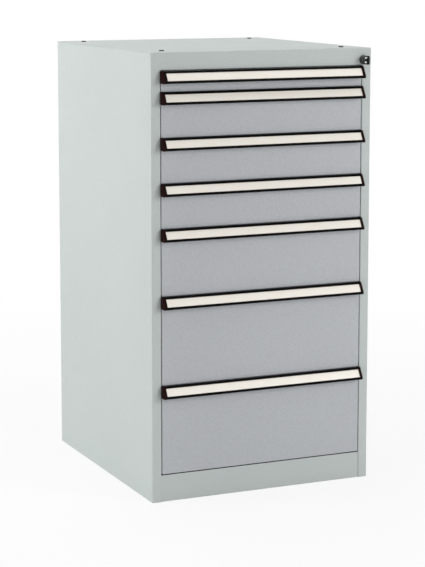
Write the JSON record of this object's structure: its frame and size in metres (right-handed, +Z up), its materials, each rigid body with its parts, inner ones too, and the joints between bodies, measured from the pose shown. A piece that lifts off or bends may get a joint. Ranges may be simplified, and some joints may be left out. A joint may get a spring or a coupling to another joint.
{
  "type": "industrial drawer cabinet",
  "caption": "Free-standing steel workshop cabinet with graded drawers, full-width label handles and a central lock that bars all drawers.",
  "frame": {"origin": "bottom centre of the overall box, key included, on the floor", "axes": "+Z up, drawer fronts face -Y, +X to the right seen from the front"},
  "size_m": [0.54, 0.6274, 1.002],
  "materials": {
    "casing_paint": "fine textured powder coat, satin, light grey",
    "front_paint": "powder coat, satin, mid grey",
    "tray_paint": "powder coat, satin, grey",
    "runner_steel": "zinc plated",
    "handle_black": "black extrusion, satin",
    "cap_plastic": "black moulding, half gloss",
    "label_card": "cream card strip under clear film",
    "plug_plastic": "black moulding",
    "lock_plastic": "black moulding, half gloss",
    "lock_chrome": "polished",
    "lock_steel": "zinc plated"
  },
  "bodies": {
    "casing": {"left_side_panel": "casing_paint", "right_side_panel": "casing_paint", "top_panel": "casing_paint", "back_panel": "casing_paint", "base_panel": "casing_paint", "left_runner_rack": "runner_steel", "right_runner_rack": "runner_steel", "top_plug_1": "plug_plastic", "top_plug_2": "plug_plastic", "top_plug_3": "plug_plastic", "top_plug_4": "plug_plastic", "lock_housing": "lock_plastic", "lock_nut": "lock_steel"},
    "lock_barrel": {"lock_cylinder": "lock_chrome", "lock_cam": "lock_steel"},
    "lock_key": {"key": "lock_plastic"},
    "locking_bar": {"lock_bar": "runner_steel"},
    "drawer_1": {"drawer_1_tray": "tray_paint", "drawer_1_front": "front_paint", "drawer_1_handle": "handle_black", "drawer_1_label": "label_card", "drawer_1_left_cap": "cap_plastic", "drawer_1_right_cap": "cap_plastic"},
    "drawer_2": {"drawer_2_tray": "tray_paint", "drawer_2_front": "front_paint", "drawer_2_handle": "handle_black", "drawer_2_label": "label_card", "drawer_2_left_cap": "cap_plastic", "drawer_2_right_cap": "cap_plastic"},
    "drawer_3": {"drawer_3_tray": "tray_paint", "drawer_3_front": "front_paint", "drawer_3_handle": "handle_black", "drawer_3_label": "label_card", "drawer_3_left_cap": "cap_plastic", "drawer_3_right_cap": "cap_plastic"},
    "drawer_4": {"drawer_4_tray": "tray_paint", "drawer_4_front": "front_paint", "drawer_4_handle": "handle_black", "drawer_4_label": "label_card", "drawer_4_left_cap": "cap_plastic", "drawer_4_right_cap": "cap_plastic"},
    "drawer_5": {"drawer_5_tray": "tray_paint", "drawer_5_front": "front_paint", "drawer_5_handle": "handle_black", "drawer_5_label": "label_card", "drawer_5_left_cap": "cap_plastic", "drawer_5_right_cap": "cap_plastic"},
    "drawer_6": {"drawer_6_tray": "tray_paint", "drawer_6_front": "front_paint", "drawer_6_handle": "handle_black", "drawer_6_label": "label_card", "drawer_6_left_cap": "cap_plastic", "drawer_6_right_cap": "cap_plastic"},
    "drawer_7": {"drawer_7_tray": "tray_paint", "drawer_7_front": "front_paint", "drawer_7_handle": "handle_black", "drawer_7_label": "label_card", "drawer_7_left_cap": "cap_plastic", "drawer_7_right_cap": "cap_plastic"}
  },
  "joints": [
    {"name": "lock_turn", "type": "hinge", "parent": "casing", "child": "lock_barrel", "pos_m": [0.251, -0.28635, 0.973], "axis": [0, 1, 0], "range_deg": [0, 90]},
    {"name": "key_pull", "type": "slide", "parent": "lock_barrel", "child": "lock_key", "axis": [0, -1, 0], "range_m": [0, 0.03]},
    {"name": "locking_bar_lift", "type": "slide", "parent": "casing", "child": "locking_bar", "axis": [0, 0, 1], "range_m": [0, 0.007]},
    {"name": "drawer_1_slide", "type": "slide", "parent": "casing", "child": "drawer_1", "axis": [0, -1, 0], "range_m": [0, 0.4]},
    {"name": "drawer_2_slide", "type": "slide", "parent": "casing", "child": "drawer_2", "axis": [0, -1, 0], "range_m": [0, 0.4]},
    {"name": "drawer_3_slide", "type": "slide", "parent": "casing", "child": "drawer_3", "axis": [0, -1, 0], "range_m": [0, 0.4]},
    {"name": "drawer_4_slide", "type": "slide", "parent": "casing", "child": "drawer_4", "axis": [0, -1, 0], "range_m": [0, 0.4]},
    {"name": "drawer_5_slide", "type": "slide", "parent": "casing", "child": "drawer_5", "axis": [0, -1, 0], "range_m": [0, 0.4]},
    {"name": "drawer_6_slide", "type": "slide", "parent": "casing", "child": "drawer_6", "axis": [0, -1, 0], "range_m": [0, 0.4]},
    {"name": "drawer_7_slide", "type": "slide", "parent": "casing", "child": "drawer_7", "axis": [0, -1, 0], "range_m": [0, 0.4]}
  ],
  "couplings": [
    {"joint": "lock_turn", "follows": "locking_bar_lift", "rad_per_m": 224.39}
  ]
}
